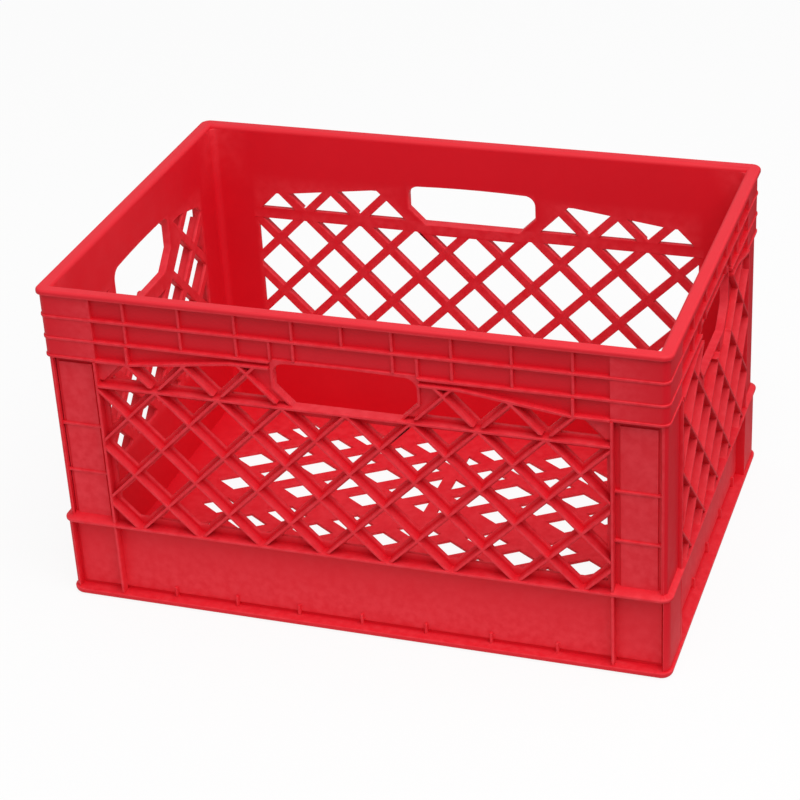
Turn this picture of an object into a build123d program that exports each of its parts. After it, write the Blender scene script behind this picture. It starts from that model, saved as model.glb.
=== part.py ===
from build123d import *
import os
from dataclasses import dataclass

# Open-top rectangular crate, one injection moulding in high-density polyethylene, in millimetres.
# +X runs along the long side, +Y from front to rear, +Z up. The origin is the bottom centre.
# The moulding is divided into its regions: floor, base band, lattice panels, corner posts,
# handle frames and webs, arched panels beside the handles, ribbed rim and top lip.
# Neighbouring regions meet face to face, and the inside is one smooth wall.

# Overall size
length = 478.0
width = 332.0
height = 266.5
corner_radius = 9.0
inner_corner_radius = 6.0

# Wall section: a skin with ribs standing out from it to the outer face
wall_depth = 11.5
skin = 2.8
rib = 2.1
rib_setback = 1.2
upright_setback = 1.6
skin_face = wall_depth - skin

# Corner posts: flush on the short side, with a recessed panel on the long side
post_width = 44.5
post_setback = 4.5
post_plate = 2.0
post_land = 8.6
pad_side_gap = 5.8
pad_corner_gap = 2.8
pad_top_gap = 5.0
pad_height = 1.4
post_bar_levels = (111.5, 152.5)
post_bar_height = 2.6

# Base band
base_height = 69.5
base_setback = 2.0
base_land = 6.6
shoulder_rise = 4.0
foot_height = 6.0
foot_edge_radius = 4.5
groove_top = 9.0
groove_depth = 1.2
gusset_pitch = 50.8
gusset_height = 9.0
gusset_stand_out = 2.2

# Floor
floor_thickness = 2.8
floor_pitch_x = 57.2
floor_pitch_y = 38.1
floor_bar = 11.0
floor_rows = 6
floor_columns = 3

# Rim and lip, with levels measured down from the top. The rim is a thick wall with shallow pockets outside.
lip_thickness = 4.0
lip_setback = 0.8
lip_outer_radius = 2.2
lip_inner_radius = 3.4
rim_setback = 2.4
rim_upright_setback = 3.4
rim_corner_face = 3.2
rim_face = 6.0
rim_plate = 2.0
upper_rib_drop = 22.0
middle_rib_drop = 39.7
lower_rib_drop = 55.0
rim_rib_first = 37.5
rim_rib_pitch = 43.6
rim_rib_least = 10.0

# Lattice of crossing T bars at 45 degrees
lattice_pitch = 49.5
bar_flange = 7.2
side_border = 4.0
bottom_border = 6.0

# Arched lower edge of the rim
arch_crest_drop = 44.5

# Rail under the handles of the long walls
rail_level = 190.5
rail_lower_half = 6.0
shelf_drop = 8.0
shelf_half = 46.0

# Handle holes
frame_wall = 2.1
handle_corner_radius = 9.0
handle_crown = 1.4

# Levels that follow from the sizes above
lip_low = height - lip_thickness
upper_rib = height - upper_rib_drop
middle_rib = height - middle_rib_drop
lower_rib = height - lower_rib_drop
arch_crest = height - arch_crest_drop
rim_low = middle_rib - rib / 2
post_top = lower_rib - rib / 2
base_top = base_height + shoulder_rise


@dataclass
class Wall:
    """One side of the crate, drawn as a front wall: along is the distance from its middle."""

    half_length: float
    face: float
    node_level: float
    handle_half: float
    handle_top: float
    handle_low: float
    handle_cut: float
    panel_low: float
    web_half: float
    arch_outer: float
    arch_inner: float
    corner_cut: float
    frame_setback: float
    has_rail: bool

    @property
    def span(self):
        return self.half_length - post_width

    @property
    def edge(self):
        return self.span - side_border


long_wall = Wall(
    half_length=length / 2,
    face=width / 2,
    node_level=rail_level,
    handle_half=54.5,
    handle_top=226.6,
    handle_low=rail_level + rib / 2,
    handle_cut=14.0,
    panel_low=rail_level + bar_flange / 2,
    web_half=0.0,
    arch_outer=length / 2 - 72.0,
    arch_inner=87.0,
    corner_cut=17.5,
    frame_setback=4.4,
    has_rail=True,
)
short_node_level = 177.5
short_wall = Wall(
    half_length=width / 2,
    face=length / 2,
    node_level=short_node_level,
    handle_half=52.5,
    handle_top=229.5,
    handle_low=184.0,
    handle_cut=15.5,
    panel_low=170.0,
    web_half=30.0,
    arch_outer=width / 2 - post_width - side_border,
    arch_inner=75.0,
    corner_cut=4.0,
    frame_setback=5.0,
    has_rail=False,
)


# Drawing helpers


def block(left, right, low, high):
    """Rectangle between two positions along the wall and two levels."""
    return Pos((left + right) / 2, (low + high) / 2) * Rectangle(right - left, high - low)


def strip(start, end, thickness):
    """Straight bar of the given thickness between two points."""
    path = Vector(*end) - Vector(*start)
    middle = (Vector(*start) + Vector(*end)) * 0.5
    turn = Vector(1, 0).get_signed_angle(path, Vector(0, 0, 1))
    return Pos(middle.X, middle.Y) * Rot(0, 0, turn) * Rectangle(path.length, thickness)


def mirrored(sketch):
    """Sketch with its mirror image on the other half of the wall."""
    return sketch + mirror(sketch, about=Plane.YZ)


def slab(wall, sketch, near, far):
    """Solid from a sketch of the wall, between two depths below the outer face."""
    plane = Plane(origin=(0, far - wall.face, 0), x_dir=(1, 0, 0), z_dir=(0, -1, 0))
    return extrude(plane * sketch, amount=far - near, dir=plane.z_dir)


def crossing_bars(wall, thickness):
    """Both sets of diagonal bars, through the nodes on the wall's node level."""
    reach = height
    count = int((wall.half_length + height) / lattice_pitch) + 1
    bars = []
    for number in range(-count, count + 1):
        left = number * lattice_pitch - reach
        right = number * lattice_pitch + reach
        bars.append(strip((left, wall.node_level - reach), (right, wall.node_level + reach), thickness))
        bars.append(strip((left, wall.node_level + reach), (right, wall.node_level - reach), thickness))
    return Sketch() + bars


def handle_hole(wall):
    """Opening of the handle: crowned top, round upper corners, lower corners cut at 45 degrees."""
    half = wall.handle_half
    side_top = wall.handle_top - handle_crown
    cut_top = wall.handle_low + wall.handle_cut
    foot_half = half - wall.handle_cut
    lower = Polyline((-half, side_top), (-half, cut_top), (-foot_half, wall.handle_low),
                     (foot_half, wall.handle_low), (half, cut_top), (half, side_top))
    crown = ThreePointArc((half, side_top), (0, wall.handle_top), (-half, side_top))
    outline = make_face([lower, crown])
    upper_corners = outline.vertices().filter_by_position(Axis.Y, side_top - 0.1, side_top + 0.1)
    return fillet(upper_corners, handle_corner_radius)


def handle_surround(wall):
    """Straight-sided outline of the handle frame."""
    half = wall.handle_half + frame_wall
    top = wall.handle_top + frame_wall
    low = wall.handle_low - frame_wall
    lean = frame_wall * (2 ** 0.5 - 1)
    cut_top = wall.handle_low + wall.handle_cut - lean
    foot_half = wall.handle_half - wall.handle_cut + lean
    shoulder = handle_corner_radius * (1 - 0.5 ** 0.5)
    return Polygon((-half, cut_top), (-foot_half, low), (foot_half, low), (half, cut_top),
                   (half, top - shoulder), (half - shoulder, top), (shoulder - half, top),
                   (-half, top - shoulder), align=None)


def arch_level(wall, along):
    """Height of the arched rib at a distance from the middle of the wall."""
    share = (wall.arch_outer - along) / (wall.arch_outer - wall.arch_inner)
    return lower_rib + (arch_crest - lower_rib) * min(max(share, 0), 1)


# Wall regions


def lattice_panel(wall):
    """Diamond lattice between the posts, the base band and the handle level."""
    top = wall.node_level - rail_lower_half if wall.has_rail else wall.panel_low
    whole = block(-wall.span, wall.span, base_height, top)
    if wall.has_rail:
        whole -= block(-shelf_half, shelf_half, wall.node_level - shelf_drop, top)
    border = mirrored(block(wall.edge, wall.span, base_height, top))
    border += block(-wall.span, wall.span, base_height, base_height + bottom_border)
    inner = (crossing_bars(wall, bar_flange) & whole) + border
    outer = crossing_bars(wall, rib) & whole
    return slab(wall, inner, skin_face, wall_depth) + slab(wall, outer, rib_setback, skin_face)


def grip_rail(wall):
    """Horizontal T bar under the handle, with the shelf that forms the lower grip."""
    level = wall.node_level
    hole = handle_hole(wall)
    inner = block(-wall.span, wall.span, level - rail_lower_half, wall.panel_low)
    inner = inner + block(-shelf_half, shelf_half, level - shelf_drop, level) - hole
    outer = block(-wall.span, wall.span, level - rib / 2, level + rib / 2) - hole
    below = block(-wall.span, wall.span, level - rail_lower_half, level)
    outer += crossing_bars(wall, rib) & (below + block(-shelf_half, shelf_half, level - shelf_drop, level))
    surround = handle_surround(wall) & block(-wall.span, wall.span, level - rib / 2, wall.panel_low)
    rail = slab(wall, inner, skin_face, wall_depth) + slab(wall, outer, rib_setback, skin_face)
    return rail + slab(wall, surround - hole, wall.frame_setback, wall_depth)


def handle_frame(wall):
    """Tunnel through the wall around the handle hole, down to the rail where there is one."""
    ring = handle_surround(wall) - handle_hole(wall)
    if wall.has_rail:
        ring = ring & block(-wall.half_length, wall.half_length, wall.panel_low, height)
    return slab(wall, ring, wall.frame_setback, wall_depth)


def handle_web(wall):
    """Ribbed web between the handle frame and the lattice of a wall without a rail."""
    web = block(-wall.web_half, wall.web_half, wall.panel_low, wall.handle_low) - handle_surround(wall)
    ribs = crossing_bars(wall, rib) & web
    return slab(wall, web, skin_face, wall_depth) + slab(wall, ribs, rib_setback, skin_face)


def open_zone(wall, crest, level, lean):
    """Area beside the handle that the diagonal bars cross, under the arch."""
    node = (1.5 * lattice_pitch, wall.node_level + lattice_pitch / 2)
    foot = (node[0] - height, node[1] - height)
    return Polygon((foot[0] - lean, foot[1]), (node[0] - lean, node[1]),
                   (node[0] - lean - (crest - node[1]), crest), (wall.arch_inner, crest),
                   (wall.arch_outer, level), (wall.edge - wall.corner_cut, level),
                   (wall.edge, level - wall.corner_cut), (wall.edge, foot[1]), align=None)


def arch_panel(wall):
    """Thick panel right of the handle, with the lattice that runs up to its arched edge."""
    panel = block(wall.web_half, wall.span, wall.panel_low, rim_low) - handle_surround(wall)
    openings = open_zone(wall, arch_crest - bar_flange / 2, lower_rib - bar_flange / 2, 0)
    openings = openings - crossing_bars(wall, bar_flange)
    line = [(wall.handle_half + frame_wall, arch_crest), (wall.arch_inner, arch_crest),
            (wall.arch_outer, lower_rib), (wall.span, lower_rib)]
    upper_edge = [(along, level + rib / 2) for along, level in line]
    lower_edge = [(along, level - rib / 2) for along, level in reversed(line)]
    arch = Polygon(*upper_edge, *lower_edge, align=None)
    outer = arch + (crossing_bars(wall, rib) & open_zone(wall, arch_crest, lower_rib, rib))
    for along in rim_rib_places(wall):
        low = arch_level(wall, along)
        if along > wall.arch_inner and rim_low - low > rim_rib_least:
            outer += block(along - rib / 2, along + rib / 2, low, rim_low)
    closed = panel - open_zone(wall, arch_crest, lower_rib, 0)
    sides = slab(wall, panel - openings, skin_face, wall_depth)
    sides += slab(wall, outer & panel, rib_setback, skin_face)
    return sides + slab(wall, closed, rim_face, skin_face)


def rim_rib_places(wall):
    """Distances of the upright rim ribs from the middle of the wall."""
    count = int((wall.edge - rim_rib_first) / rim_rib_pitch) + 1
    return [rim_rib_first + number * rim_rib_pitch for number in range(count)]


def rim_wall(wall):
    """Thick band under the lip, with two long ribs outside and uprights between them."""
    panel = block(-wall.span, wall.span, rim_low, lip_low) - handle_surround(wall)
    long_ribs = block(-wall.span, wall.span, middle_rib - rib / 2, middle_rib + rib / 2)
    long_ribs += block(-wall.span, wall.span, upper_rib - rib / 2, upper_rib + rib / 2)
    uprights = block(-rib / 2, rib / 2, upper_rib, lip_low)
    for along in rim_rib_places(wall):
        uprights += mirrored(block(along - rib / 2, along + rib / 2, middle_rib, lip_low))
    side = wall.handle_half + frame_wall / 2
    uprights += mirrored(block(side - rib / 2, side + rib / 2, middle_rib, upper_rib))
    rim = slab(wall, panel, rim_face, wall_depth)
    rim += slab(wall, long_ribs & panel, rim_setback, rim_face)
    return rim + slab(wall, uprights & panel, rim_upright_setback, rim_face)


# Profiles across the wall, drawn with depth below the outer face and height


def lip_profile():
    """Flat top lip with rounded edges."""
    lip = block(lip_setback, wall_depth, lip_low, height)
    lip = fillet(lip.vertices().sort_by_distance((lip_setback, height, 0))[0], lip_outer_radius)
    return fillet(lip.vertices().sort_by_distance((wall_depth, height, 0))[0], lip_inner_radius)


def base_profile(shoulder):
    """Base band: rounded foot, groove, recessed panel and ledge."""
    top = base_height + shoulder
    band = Polygon((0, 0), (0, foot_height), (skin_face + groove_depth, foot_height),
                   (skin_face + groove_depth, groove_top), (skin_face, groove_top),
                   (skin_face, base_height - rib), (0, base_height - rib), (0, base_height),
                   (skin_face, top), (wall_depth, top), (wall_depth, 0), align=None)
    return fillet(band.vertices().sort_by_distance((0, 0, 0))[0], foot_edge_radius)


def along_wall(wall, profile):
    """Profile run straight along the wall between the posts."""
    plane = Plane(origin=(-wall.span, -wall.face, 0), x_dir=(0, 1, 0), z_dir=(1, 0, 0))
    return extrude(plane * profile, amount=2 * wall.span, dir=plane.z_dir)


def base_wall(wall):
    """Base band between the corners, with small gussets above its foot."""
    band = along_wall(wall, base_profile(0))
    count = int(wall.edge / gusset_pitch)
    for number in range(-count, count + 1):
        along = number * gusset_pitch
        gusset = block(along - rib / 2, along + rib / 2, foot_height, foot_height + gusset_height)
        band += slab(wall, gusset, skin_face - gusset_stand_out, skin_face + groove_depth)
    return band


def top_lip(wall):
    """Lip between the corners."""
    return along_wall(wall, lip_profile())


# Corner regions, drawn at the front right corner


def bent_run(profile):
    """Profile no deeper than the corner radius, run round the corner along an arc."""
    straight = post_width - corner_radius
    front = Plane(origin=(length / 2 - post_width, -width / 2, 0), x_dir=(0, 1, 0), z_dir=(1, 0, 0))
    bend = Plane(origin=(length / 2 - corner_radius, -width / 2, 0), x_dir=(0, 1, 0), z_dir=(1, 0, 0))
    side = Plane(origin=(length / 2, corner_radius - width / 2, 0), x_dir=(-1, 0, 0), z_dir=(0, 1, 0))
    axis = Axis((length / 2 - corner_radius, corner_radius - width / 2, 0), (0, 0, 1))
    run = extrude(front * profile, amount=straight, dir=front.z_dir)
    run += revolve(bend * profile, axis=axis, revolution_arc=90)
    return run + extrude(side * profile, amount=straight, dir=side.z_dir)


def mitred_run(profile):
    """Profile deeper than the corner radius, run round the corner with a mitre."""
    tip = (length / 2, -width / 2)
    reach = 2 * post_width
    diagonal = (tip[0] - reach, tip[1] + reach)
    front_half = extrude(Polygon(tip, diagonal, (tip[0] - reach, tip[1]), align=None), height, dir=(0, 0, 1))
    side_half = extrude(Polygon(tip, (tip[0], tip[1] + reach), diagonal, align=None), height, dir=(0, 0, 1))
    front = Plane(origin=(tip[0] - post_width, tip[1], 0), x_dir=(0, 1, 0), z_dir=(1, 0, 0))
    side = Plane(origin=(tip[0], tip[1], 0), x_dir=(-1, 0, 0), z_dir=(0, 1, 0))
    run = extrude(front * profile, amount=post_width, dir=front.z_dir) & front_half
    return run + (extrude(side * profile, amount=post_width, dir=side.z_dir) & side_half)


def around_corner(profile):
    """Profile run from one post edge, round the corner, to the other post edge."""
    depths = profile.bounding_box()
    if depths.max.X <= corner_radius:
        return bent_run(profile)
    if depths.min.X >= corner_radius:
        return mitred_run(profile)
    outside = block(0, corner_radius, 0, height)
    return bent_run(profile & outside) + mitred_run(profile - outside)


def front_block(start, end, near, far, low, high):
    """Box on the front of the corner, placed by distance from the side face, depth and level."""
    place = Pos(length / 2 - end, near - width / 2, low)
    return place * Box(end - start, far - near, high - low, align=(Align.MIN, Align.MIN, Align.MIN))


def side_block(start, end, near, far, low, high):
    """Box on the side of the corner, placed by distance from the front face, depth and level."""
    place = Pos(length / 2 - far, start - width / 2, low)
    return place * Box(far - near, end - start, high - low, align=(Align.MIN, Align.MIN, Align.MIN))


def edge_uprights(near, low, high):
    """Upright ribs along both edges of the corner."""
    ribs = front_block(post_width - rib, post_width, near, skin_face, low, high)
    return ribs + side_block(post_width - rib, post_width, near, skin_face, low, high)


def flush_side(near, far, land, low, high):
    """Flush side face of the corner, reaching round to a narrow land on the front."""
    side = around_corner(block(near, far, low, high))
    return side - front_block(land, 2 * post_width, near, far, low, high)


def inside_rounding(low, high):
    """Rounding of the inside corner between two levels."""
    tip = Pos(length / 2 - wall_depth, wall_depth - width / 2, low)
    square = Rectangle(inner_corner_radius, inner_corner_radius, align=(Align.MAX, Align.MIN))
    hollow = Pos(-inner_corner_radius, inner_corner_radius) * Circle(inner_corner_radius)
    return tip * extrude(square - hollow, high - low, dir=(0, 0, 1))


def base_corner():
    """Corner of the base band, with a sloping shoulder under the post."""
    ledge = base_height - rib
    corner = around_corner(base_profile(shoulder_rise))
    corner += flush_side(base_setback, skin_face + groove_depth, base_land, foot_height, ledge)
    corner += edge_uprights(upright_setback, foot_height, ledge)
    return corner + inside_rounding(0, base_top)


def corner_post():
    """Post between base and rim: double-walled side, and a raised pad with two cross bars on the front."""
    post = around_corner(block(skin_face, wall_depth, base_height, post_top))
    post += flush_side(post_setback, post_setback + post_plate, post_land, base_height, post_top)
    post += front_block(post_land - rib, post_land, post_setback, skin_face, base_height, post_top)
    post += edge_uprights(upright_setback, base_height, post_top)
    post += front_block(post_land + pad_corner_gap, post_width - pad_side_gap,
                        skin_face - pad_height, skin_face, base_height, post_top - pad_top_gap)
    for level in post_bar_levels:
        post += front_block(post_land, post_width - rib, skin_face - post_bar_height, skin_face,
                            level - rib / 2, level + rib / 2)
    post += inside_rounding(base_height, post_top)
    return post - around_corner(base_profile(shoulder_rise)) - inside_rounding(0, base_top)


def rim_corner():
    """Corner of the rim and lip: a double wall with three low ribs round it."""
    corner = around_corner(block(skin_face, wall_depth, post_top, lip_low))
    corner += around_corner(block(rim_corner_face, rim_corner_face + rim_plate, post_top, lip_low))
    for level in (lower_rib, middle_rib, upper_rib):
        corner += around_corner(block(rim_setback, rim_corner_face, level - rib / 2, level + rib / 2))
    corner += edge_uprights(rim_upright_setback, post_top, lip_low)
    corner += inside_rounding(post_top, height - lip_inner_radius)
    return corner + around_corner(lip_profile())


# Floor


def floor_grid():
    """Floor plate with diamond holes in staggered rows, a solid middle row and a middle bar."""
    plate = RectangleRounded(length - 2 * wall_depth, width - 2 * wall_depth, inner_corner_radius)
    half_x = floor_pitch_x / 2
    half_y = floor_pitch_y / 2
    clear = 1 - floor_bar / 2 * (half_x ** 2 + half_y ** 2) ** 0.5 / (half_x * half_y)
    diamond = Polygon((half_x * clear, 0), (0, half_y * clear), (-half_x * clear, 0), (0, -half_y * clear))
    holes = []
    for row in range(-floor_rows, floor_rows + 1):
        shift = 0 if row % 2 else half_x
        for column in range(-floor_columns, floor_columns + 1):
            along = column * floor_pitch_x + shift
            if row != 0 and abs(along) <= floor_columns * floor_pitch_x:
                holes.append(Pos(along, row * half_y) * diamond)
    holes = Sketch() + holes
    holes = holes - Rectangle(floor_bar, width)
    return extrude(plate - holes, amount=floor_thickness)


# Placing and writing


def write(name, solid):
    """Write one region to its own file."""
    export_step(solid, os.path.join("parts", name + ".step"))


def write_walls(name, make, walls):
    """Write one region for each wall named, turned from the front to its place."""
    turns = {"front": 0, "right": 90, "rear": 180, "left": -90}
    for place in walls:
        wall = long_wall if place in ("front", "rear") else short_wall
        write(name + "_" + place, Rot(0, 0, turns[place]) * make(wall))


def write_corners(name, corner):
    """Write one region for each corner, mirrored from the front right."""
    left = mirror(corner, about=Plane.YZ)
    write(name + "_front_right", corner)
    write(name + "_front_left", left)
    write(name + "_rear_right", mirror(corner, about=Plane.XZ))
    write(name + "_rear_left", mirror(left, about=Plane.XZ))


def other_side(make):
    """The same region on the other half of its wall."""
    return lambda wall: mirror(make(wall), about=Plane.YZ)


def main():
    os.makedirs("parts", exist_ok=True)
    sides = ("front", "right", "rear", "left")
    write("floor_grid", floor_grid())
    write_walls("base_wall", base_wall, sides)
    write_walls("lattice_panel", lattice_panel, sides)
    write_walls("grip_rail", grip_rail, ("front", "rear"))
    write_walls("handle_frame", handle_frame, sides)
    write_walls("handle_web", handle_web, ("right", "left"))
    write_walls("arch_panel_a", arch_panel, sides)
    write_walls("arch_panel_b", other_side(arch_panel), sides)
    write_walls("rim_wall", rim_wall, sides)
    write_walls("top_lip", top_lip, sides)
    write_corners("base_corner", base_corner())
    write_corners("corner_post", corner_post())
    write_corners("rim_corner", rim_corner())


main()
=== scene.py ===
import math
import bmesh
import bpy
from mathutils import Matrix, Vector
from mathutils.bvhtree import BVHTree


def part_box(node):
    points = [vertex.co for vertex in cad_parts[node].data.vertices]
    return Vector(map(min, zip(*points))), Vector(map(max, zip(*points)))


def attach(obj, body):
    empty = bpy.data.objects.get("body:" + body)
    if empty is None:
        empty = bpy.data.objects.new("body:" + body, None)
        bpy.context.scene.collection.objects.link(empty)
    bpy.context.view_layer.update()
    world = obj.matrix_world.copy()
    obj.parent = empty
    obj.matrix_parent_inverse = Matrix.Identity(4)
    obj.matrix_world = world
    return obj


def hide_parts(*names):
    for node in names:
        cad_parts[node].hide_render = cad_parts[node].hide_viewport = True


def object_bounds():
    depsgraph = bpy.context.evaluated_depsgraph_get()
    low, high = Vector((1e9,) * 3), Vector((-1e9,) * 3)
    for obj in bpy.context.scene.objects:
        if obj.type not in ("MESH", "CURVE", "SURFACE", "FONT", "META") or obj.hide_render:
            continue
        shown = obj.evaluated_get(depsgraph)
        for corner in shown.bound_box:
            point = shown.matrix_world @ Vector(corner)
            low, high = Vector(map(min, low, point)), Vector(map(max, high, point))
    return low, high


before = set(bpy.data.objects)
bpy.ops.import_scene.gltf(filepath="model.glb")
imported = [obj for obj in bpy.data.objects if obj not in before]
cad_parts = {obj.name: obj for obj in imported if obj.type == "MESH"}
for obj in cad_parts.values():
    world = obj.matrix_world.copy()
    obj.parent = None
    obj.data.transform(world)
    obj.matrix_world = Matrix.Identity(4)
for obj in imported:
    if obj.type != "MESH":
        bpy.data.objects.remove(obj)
cad_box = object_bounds()

# The crate's own levels and right face, in metres
UNDERSIDE = cad_box[0][2]
TOP = cad_box[1][2]
RIGHT_FACE = cad_box[1][0]

# Camera, solved from the edges of the crate in the photograph
CAMERA_PLACE = Vector((0.5253, -1.5041, 1.0046))
CAMERA_AZIMUTH = math.radians(19.814)
CAMERA_ELEVATION = math.radians(29.187)
CAMERA_ROLL = math.radians(-3.325)
CAMERA_LENS_MM = 103.84
CAMERA_SENSOR_MM = 36.0
CAMERA_REACH = 50.0

# Light: strength of the white surroundings, as light and as the camera sees them, and the soft square lights
SURROUNDINGS = 0.55
SURROUNDINGS_SEEN = 0.97
KEY_PLACE = Vector((0.8, -0.95, 2.2))
KEY_TARGET = Vector((0.0, 0.0, 0.15))
KEY_SIZE = 2.0
KEY_POWER = 42.0
FILL_PLACE = Vector((1.8, 0.1, 0.6))
FILL_TARGET = Vector((RIGHT_FACE, 0.0, (UNDERSIDE + TOP) / 2))
FILL_SIZE = 1.0
FILL_POWER = 4.0

# Moulded edges: radius, the shortest edge that is rounded, and the turns of flat, curved and sharp edges
EDGE_RADIUS = 0.00045
EDGE_SEGMENTS = 2
SHORTEST_EDGE = 4 * EDGE_RADIUS
FLAT_TURN = math.radians(0.5)
CURVE_TURN = math.radians(25)
SHARP_TURN = math.radians(35)
SMOOTH_TURN = math.radians(50)

# Neighbouring regions: when points are one, when surfaces touch, and where beside an edge that is tested
WELD = 0.000001
CONTACT = 0.00002
BOX_REACH = 0.0002
NEAR_EDGE = 0.0003
EDGE_TESTS = (0.1, 0.5, 0.9)

# Colours, in linear light
RED = (0.74, 0.0050, 0.0175, 1.0)
RED_DEEP = (0.66, 0.0038, 0.0140, 1.0)
# Paler red for the rounded edges (partly wear, partly painted edge highlight) and for the paler top of the
# lip
RED_PALE = (0.80, 0.030, 0.046, 1.0)
WHITE = (1.0, 1.0, 1.0, 1.0)
FLOOR_WHITE = (0.85, 0.85, 0.85, 1.0)
FLOOR_PAINTED_SHADE = (0.10, 0.10, 0.10, 1.0)

# Plastic: noise scales in cells per metre, the range that most noise fills, and how far each effect goes
COLOUR_DETAIL = 4.0
RELIEF_DETAIL = 2.0
NOISE_LOW = 0.35
NOISE_HIGH = 0.65
CLOUD_SCALE = 14.0
CLOUD_SHARE = 0.35
EDGE_PATCH_SCALE = 160.0
EDGE_PATCH_LEAST = 0.35
GLOSS_SCALE = 55.0
ROUGHNESS_LEAST = 0.53
ROUGHNESS_MOST = 0.60
GRAIN_SCALE = 1400.0
GRAIN_STRENGTH = 0.12
GRAIN_HEIGHT = 0.0003
WAVE_SCALE = 45.0
WAVE_STRENGTH = 0.12
WAVE_HEIGHT = 0.0006
PLASTIC_IOR = 1.38

# Lip: depth of the zone at the top that is painted paler, and how far
PALE_TOP_DEPTH = 0.004
PALE_TOP_SHARE = 0.55

# Floor: half its size, its clearance under the crate, how much of what the camera sees is plain white,
# and the stretches over which its right, along X, and its front, along Y, carry painted shade, seen by all
# rays but the camera's, so they reflect less
FLOOR_HALF = 12.0
FLOOR_CLEARANCE = 0.0002
FLOOR_GLOW = 0.9
RIGHT_SHADE = (0.20, 0.32)
FRONT_SHADE = (-1.00, -0.35)

# Sockets of the mix node that carry its share, its two colours and the mixed colour
MIX_SHARE = 0
MIX_FIRST = 6
MIX_SECOND = 7
MIX_RESULT = 2


# Material helpers


def new_material(name):
    """Empty node material with its tree and output."""
    material = bpy.data.materials.new(name)
    material.use_nodes = True
    tree = material.node_tree
    tree.nodes.clear()
    output = tree.nodes.new("ShaderNodeOutputMaterial")
    return material, tree, output


def place_in_crate(tree):
    """Position in the crate's own frame, and its parts along X, Y and Z."""
    place = tree.nodes.new("ShaderNodeTexCoord").outputs["Object"]
    split = tree.nodes.new("ShaderNodeSeparateXYZ")
    tree.links.new(place, split.inputs["Vector"])
    return place, split.outputs


def noise(tree, place, scale, detail):
    """Noise in the crate's own frame, at a scale in cells per metre."""
    node = tree.nodes.new("ShaderNodeTexNoise")
    node.inputs["Scale"].default_value = scale
    node.inputs["Detail"].default_value = detail
    tree.links.new(place, node.inputs["Vector"])
    return node.outputs["Fac"]


def spread(tree, value, low, high, to_low, to_high):
    """Value taken from one range to another, and kept inside it."""
    node = tree.nodes.new("ShaderNodeMapRange")
    for name, number in (("From Min", low), ("From Max", high), ("To Min", to_low), ("To Max", to_high)):
        node.inputs[name].default_value = number
    tree.links.new(value, node.inputs["Value"])
    return node.outputs["Result"]


def blend_colour(tree, share, first, second):
    """Mix of two colours; either may be a fixed colour or another node's output."""
    node = tree.nodes.new("ShaderNodeMix")
    node.data_type = "RGBA"
    tree.links.new(share, node.inputs[MIX_SHARE])
    for socket, colour in ((node.inputs[MIX_FIRST], first), (node.inputs[MIX_SECOND], second)):
        if isinstance(colour, tuple):
            socket.default_value = colour
        else:
            tree.links.new(colour, socket)
    return node.outputs[MIX_RESULT]


def uneven(tree, place, scale, least, most):
    """Value that wanders between two limits."""
    return spread(tree, noise(tree, place, scale, COLOUR_DETAIL), NOISE_LOW, NOISE_HIGH, least, most)


def combine(tree, operation, first, second):
    """Two values joined by an operation of the Math node."""
    node = tree.nodes.new("ShaderNodeMath")
    node.operation = operation
    tree.links.new(first, node.inputs[0])
    tree.links.new(second, node.inputs[1])
    return node.outputs[0]


def bump(tree, height, strength, distance):
    """Relief from a height between 0 and 1."""
    node = tree.nodes.new("ShaderNodeBump")
    node.inputs["Strength"].default_value = strength
    node.inputs["Distance"].default_value = distance
    tree.links.new(height, node.inputs["Height"])
    return node


# Moulded red plastic


def plastic_colour(tree):
    """Red with cloudy pigment; rounded edges paler, partly wear and partly painted highlight, and paler
    towards the top of the lip.
    """
    place, along = place_in_crate(tree)
    colour = blend_colour(tree, uneven(tree, place, CLOUD_SCALE, 0.0, CLOUD_SHARE), RED, RED_DEEP)
    # Rounded edges painted paler in patches: partly wear, partly painted highlight where edges catch the
    # light
    worn_and_highlit = tree.nodes.new("ShaderNodeAttribute")
    worn_and_highlit.attribute_name = "worn_and_highlit"
    patches = uneven(tree, place, EDGE_PATCH_SCALE, EDGE_PATCH_LEAST, 1.0)
    colour = blend_colour(tree, combine(tree, "MULTIPLY", worn_and_highlit.outputs["Fac"], patches), colour, RED_PALE)
    # Colour turns paler towards the top of the crate, over the lip
    pale_top = spread(tree, along["Z"], TOP - PALE_TOP_DEPTH, TOP, 0.0, PALE_TOP_SHARE)
    return blend_colour(tree, pale_top, colour, RED_PALE)


def crate_plastic():
    """Satin moulded polyethylene with uneven gloss, fine grain and faint flow marks."""
    material, tree, output = new_material("crate_plastic")
    place, _ = place_in_crate(tree)
    shader = tree.nodes.new("ShaderNodeBsdfPrincipled")
    shader.inputs["IOR"].default_value = PLASTIC_IOR
    tree.links.new(plastic_colour(tree), shader.inputs["Base Color"])
    gloss = uneven(tree, place, GLOSS_SCALE, ROUGHNESS_LEAST, ROUGHNESS_MOST)
    tree.links.new(gloss, shader.inputs["Roughness"])
    grain = bump(tree, noise(tree, place, GRAIN_SCALE, RELIEF_DETAIL), GRAIN_STRENGTH, GRAIN_HEIGHT)
    waves = bump(tree, noise(tree, place, WAVE_SCALE, RELIEF_DETAIL), WAVE_STRENGTH, WAVE_HEIGHT)
    tree.links.new(grain.outputs["Normal"], waves.inputs["Normal"])
    tree.links.new(waves.outputs["Normal"], shader.inputs["Normal"])
    tree.links.new(shader.outputs["BSDF"], output.inputs["Surface"])
    return material


# Floor


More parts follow.
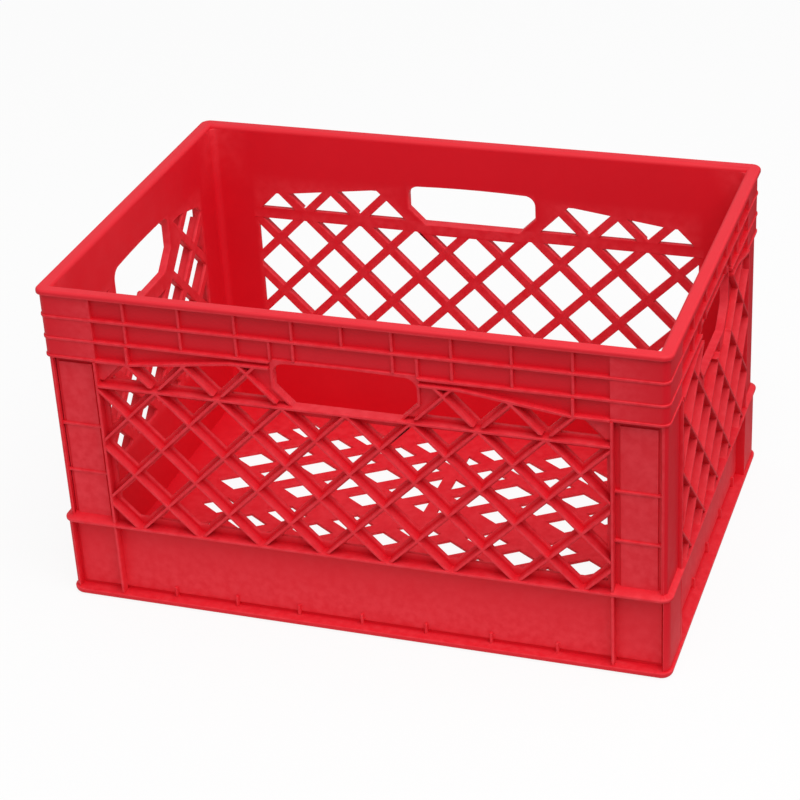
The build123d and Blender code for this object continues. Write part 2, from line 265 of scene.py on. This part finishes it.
def floor_material():
    """Pale floor, close to white to the camera, with a soft shadow; its right and front carry painted shade
    for other rays, so they reflect less.
    """
    material, tree, output = new_material("studio_floor")
    seen = tree.nodes.new("ShaderNodeLightPath").outputs["Is Camera Ray"]
    _, along = place_in_crate(tree)
    # Painted shade on the floor to the right and in front of the crate, hidden from camera rays
    right = spread(tree, along["X"], *RIGHT_SHADE, 0.0, 1.0)
    front = spread(tree, along["Y"], *FRONT_SHADE, 1.0, 0.0)
    unseen = spread(tree, seen, 0.0, 1.0, 1.0, 0.0)
    painted_shade = combine(tree, "MULTIPLY", combine(tree, "MAXIMUM", right, front), unseen)
    matt = tree.nodes.new("ShaderNodeBsdfDiffuse")
    tree.links.new(blend_colour(tree, painted_shade, FLOOR_WHITE, FLOOR_PAINTED_SHADE), matt.inputs["Color"])
    glow = tree.nodes.new("ShaderNodeEmission")
    glow.inputs["Color"].default_value = WHITE
    glow.inputs["Strength"].default_value = 1.0
    mix = tree.nodes.new("ShaderNodeMixShader")
    share, first, second = mix.inputs
    tree.links.new(spread(tree, seen, 0.0, 1.0, 0.0, FLOOR_GLOW), share)
    tree.links.new(matt.outputs["BSDF"], first)
    tree.links.new(glow.outputs["Emission"], second)
    tree.links.new(mix.outputs["Shader"], output.inputs["Surface"])
    return material


def add_floor():
    """Wide level floor under the crate."""
    level = UNDERSIDE - FLOOR_CLEARANCE
    turns = ((-1, -1), (1, -1), (1, 1), (-1, 1))
    corners = [(x * FLOOR_HALF, y * FLOOR_HALF, level) for x, y in turns]
    mesh = bpy.data.meshes.new("studio_floor")
    mesh.from_pydata(corners, [], [(0, 1, 2, 3)])
    mesh.materials.append(floor_material())
    floor = bpy.data.objects.new("studio_floor", mesh)
    bpy.context.scene.collection.objects.link(floor)


# Crate regions with moulded edges


def mesh_copy(node):
    """Welded copy of a region's mesh, with its flat faces made whole."""
    shape = bmesh.new()
    shape.from_mesh(node.data)
    bmesh.ops.remove_doubles(shape, verts=shape.verts, dist=WELD)
    bmesh.ops.dissolve_limit(shape, angle_limit=FLAT_TURN, verts=shape.verts, edges=shape.edges)
    bmesh.ops.recalc_face_normals(shape, faces=shape.faces)
    return shape


def touches(point, neighbours):
    """True if the point lies on the surface of a neighbouring region."""
    return any(tree.find_nearest(point, CONTACT)[0] is not None for tree in neighbours)


def is_free(edge, neighbours):
    """True if no neighbouring region meets either face along this edge."""
    along = edge.verts[1].co - edge.verts[0].co
    for loop in edge.link_loops:
        inward = loop.face.normal.cross(loop.link_loop_next.vert.co - loop.vert.co).normalized()
        for share in EDGE_TESTS:
            if touches(edge.verts[0].co + along * share + inward * NEAR_EDGE, neighbours):
                return False
    return True


def runs_on(edge):
    """True if the edge is long enough to round, or is a step of a curve."""
    if edge.calc_length() > SHORTEST_EDGE:
        return True
    along = (edge.verts[1].co - edge.verts[0].co).normalized()
    for vert in edge.verts:
        for other in vert.link_edges:
            onward = (other.verts[1].co - other.verts[0].co).normalized()
            if other != edge and abs(along.dot(onward)) > math.cos(CURVE_TURN):
                return True
    return False


def is_outer(edge):
    """True if the edge stands out sharply between two faces."""
    return len(edge.link_faces) == 2 and edge.is_convex and edge.calc_face_angle() > SHARP_TURN


def round_edges(shape, neighbours):
    """Rounds the outer edges that no other region meets, and marks the rounded faces for the paler edge
    colour: partly wear, partly painted highlight.
    """
    # Marks the rounded faces for the paler colour: partly wear, partly painted edge highlight
    worn_and_highlit = shape.verts.layers.float.new("worn_and_highlit")
    edges = [edge for edge in shape.edges if is_outer(edge) and runs_on(edge) and is_free(edge, neighbours)]
    rounded = bmesh.ops.bevel(shape, geom=edges, offset=EDGE_RADIUS, offset_type="OFFSET", affect="EDGES",
                              segments=EDGE_SEGMENTS, profile=0.5, clamp_overlap=False)
    for face in rounded["faces"]:
        for vert in face.verts:
            vert[worn_and_highlit] = 1.0
    bmesh.ops.dissolve_degenerate(shape, dist=WELD, edges=shape.edges)


def shade(shape):
    """Smooth shading that breaks at the edges that turn sharply."""
    for face in shape.faces:
        face.smooth = True
    for edge in shape.edges:
        edge.smooth = len(edge.link_faces) == 2 and edge.calc_face_angle() < SMOOTH_TURN


def boxes_meet(first, second):
    """True if the boxes of two regions touch or overlap."""
    return all(first[0][axis] - BOX_REACH <= second[1][axis] and second[0][axis] - BOX_REACH <= first[1][axis]
               for axis in range(3))


def surface_trees(nodes):
    """Search tree of each region's surface."""
    trees = {}
    for name, node in nodes.items():
        shape = mesh_copy(node)
        trees[name] = BVHTree.FromBMesh(shape)
        shape.free()
    return trees


def moulded_mesh(name, node, neighbours):
    """Mesh of one region with rounded edges, without the shading that the region came with."""
    shape = mesh_copy(node)
    round_edges(shape, neighbours)
    shade(shape)
    mesh = bpy.data.meshes.new(name)
    shape.to_mesh(mesh)
    shape.free()
    mesh.attributes.remove(mesh.attributes["custom_normal"])
    return mesh


def moulded_regions(material):
    """One visible piece for each region of the moulding, in the region's place."""
    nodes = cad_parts
    boxes = {name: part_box(name) for name in nodes}
    trees = surface_trees(nodes)
    for name, node in nodes.items():
        others = [other for other in nodes if other != name and boxes_meet(boxes[name], boxes[other])]
        mesh = moulded_mesh(name + "_moulding", node, [trees[other] for other in others])
        mesh.materials.append(material)
        piece = bpy.data.objects.new(name + "_moulding", mesh)
        bpy.context.scene.collection.objects.link(piece)
        piece.modifiers.new("flat_faces_stay_flat", "WEIGHTED_NORMAL").keep_sharp = True
        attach(piece, "root")
        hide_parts(name)


# Light and camera


def add_area_light(name, place, target, size, power):
    """Large soft square light aimed at a point."""
    light = bpy.data.lights.new(name, "AREA")
    light.shape = "SQUARE"
    light.size = size
    light.energy = power
    holder = bpy.data.objects.new(name, light)
    holder.location = place
    holder.rotation_euler = (target - place).to_track_quat("-Z", "Y").to_euler()
    bpy.context.scene.collection.objects.link(holder)


def add_lights():
    """Even white surroundings, a soft key light above the front right and a weak fill from the right."""
    world = bpy.data.worlds.new("studio")
    world.use_nodes = True
    tree = world.node_tree
    background = tree.nodes["Background"]
    background.inputs["Color"].default_value = WHITE
    seen = tree.nodes.new("ShaderNodeLightPath").outputs["Is Camera Ray"]
    strength = spread(tree, seen, 0.0, 1.0, SURROUNDINGS, SURROUNDINGS_SEEN)
    tree.links.new(strength, background.inputs["Strength"])
    bpy.context.scene.world = world
    add_area_light("key", KEY_PLACE, KEY_TARGET, KEY_SIZE, KEY_POWER)
    add_area_light("fill", FILL_PLACE, FILL_TARGET, FILL_SIZE, FILL_POWER)


def add_camera():
    """Camera at the photograph's place, level and roll."""
    level = Vector((math.cos(CAMERA_AZIMUTH), math.sin(CAMERA_AZIMUTH), 0.0))
    outward = Vector((math.sin(CAMERA_AZIMUTH), -math.cos(CAMERA_AZIMUTH), 0.0))
    back = outward * math.cos(CAMERA_ELEVATION) + Vector((0.0, 0.0, math.sin(CAMERA_ELEVATION)))
    upright = back.cross(level)
    right = level * math.cos(CAMERA_ROLL) + upright * math.sin(CAMERA_ROLL)
    up = upright * math.cos(CAMERA_ROLL) - level * math.sin(CAMERA_ROLL)
    lens = bpy.data.cameras.new("photo_camera")
    lens.lens = CAMERA_LENS_MM
    lens.sensor_width = CAMERA_SENSOR_MM
    lens.clip_end = CAMERA_REACH
    camera = bpy.data.objects.new("photo_camera", lens)
    camera.matrix_world = Matrix.Translation(CAMERA_PLACE) @ Matrix((right, up, back)).transposed().to_4x4()
    bpy.context.scene.collection.objects.link(camera)
    bpy.context.scene.camera = camera


moulded_regions(crate_plastic())
add_floor()
add_lights()
add_camera()
bpy.context.scene.view_settings.view_transform = "Standard"
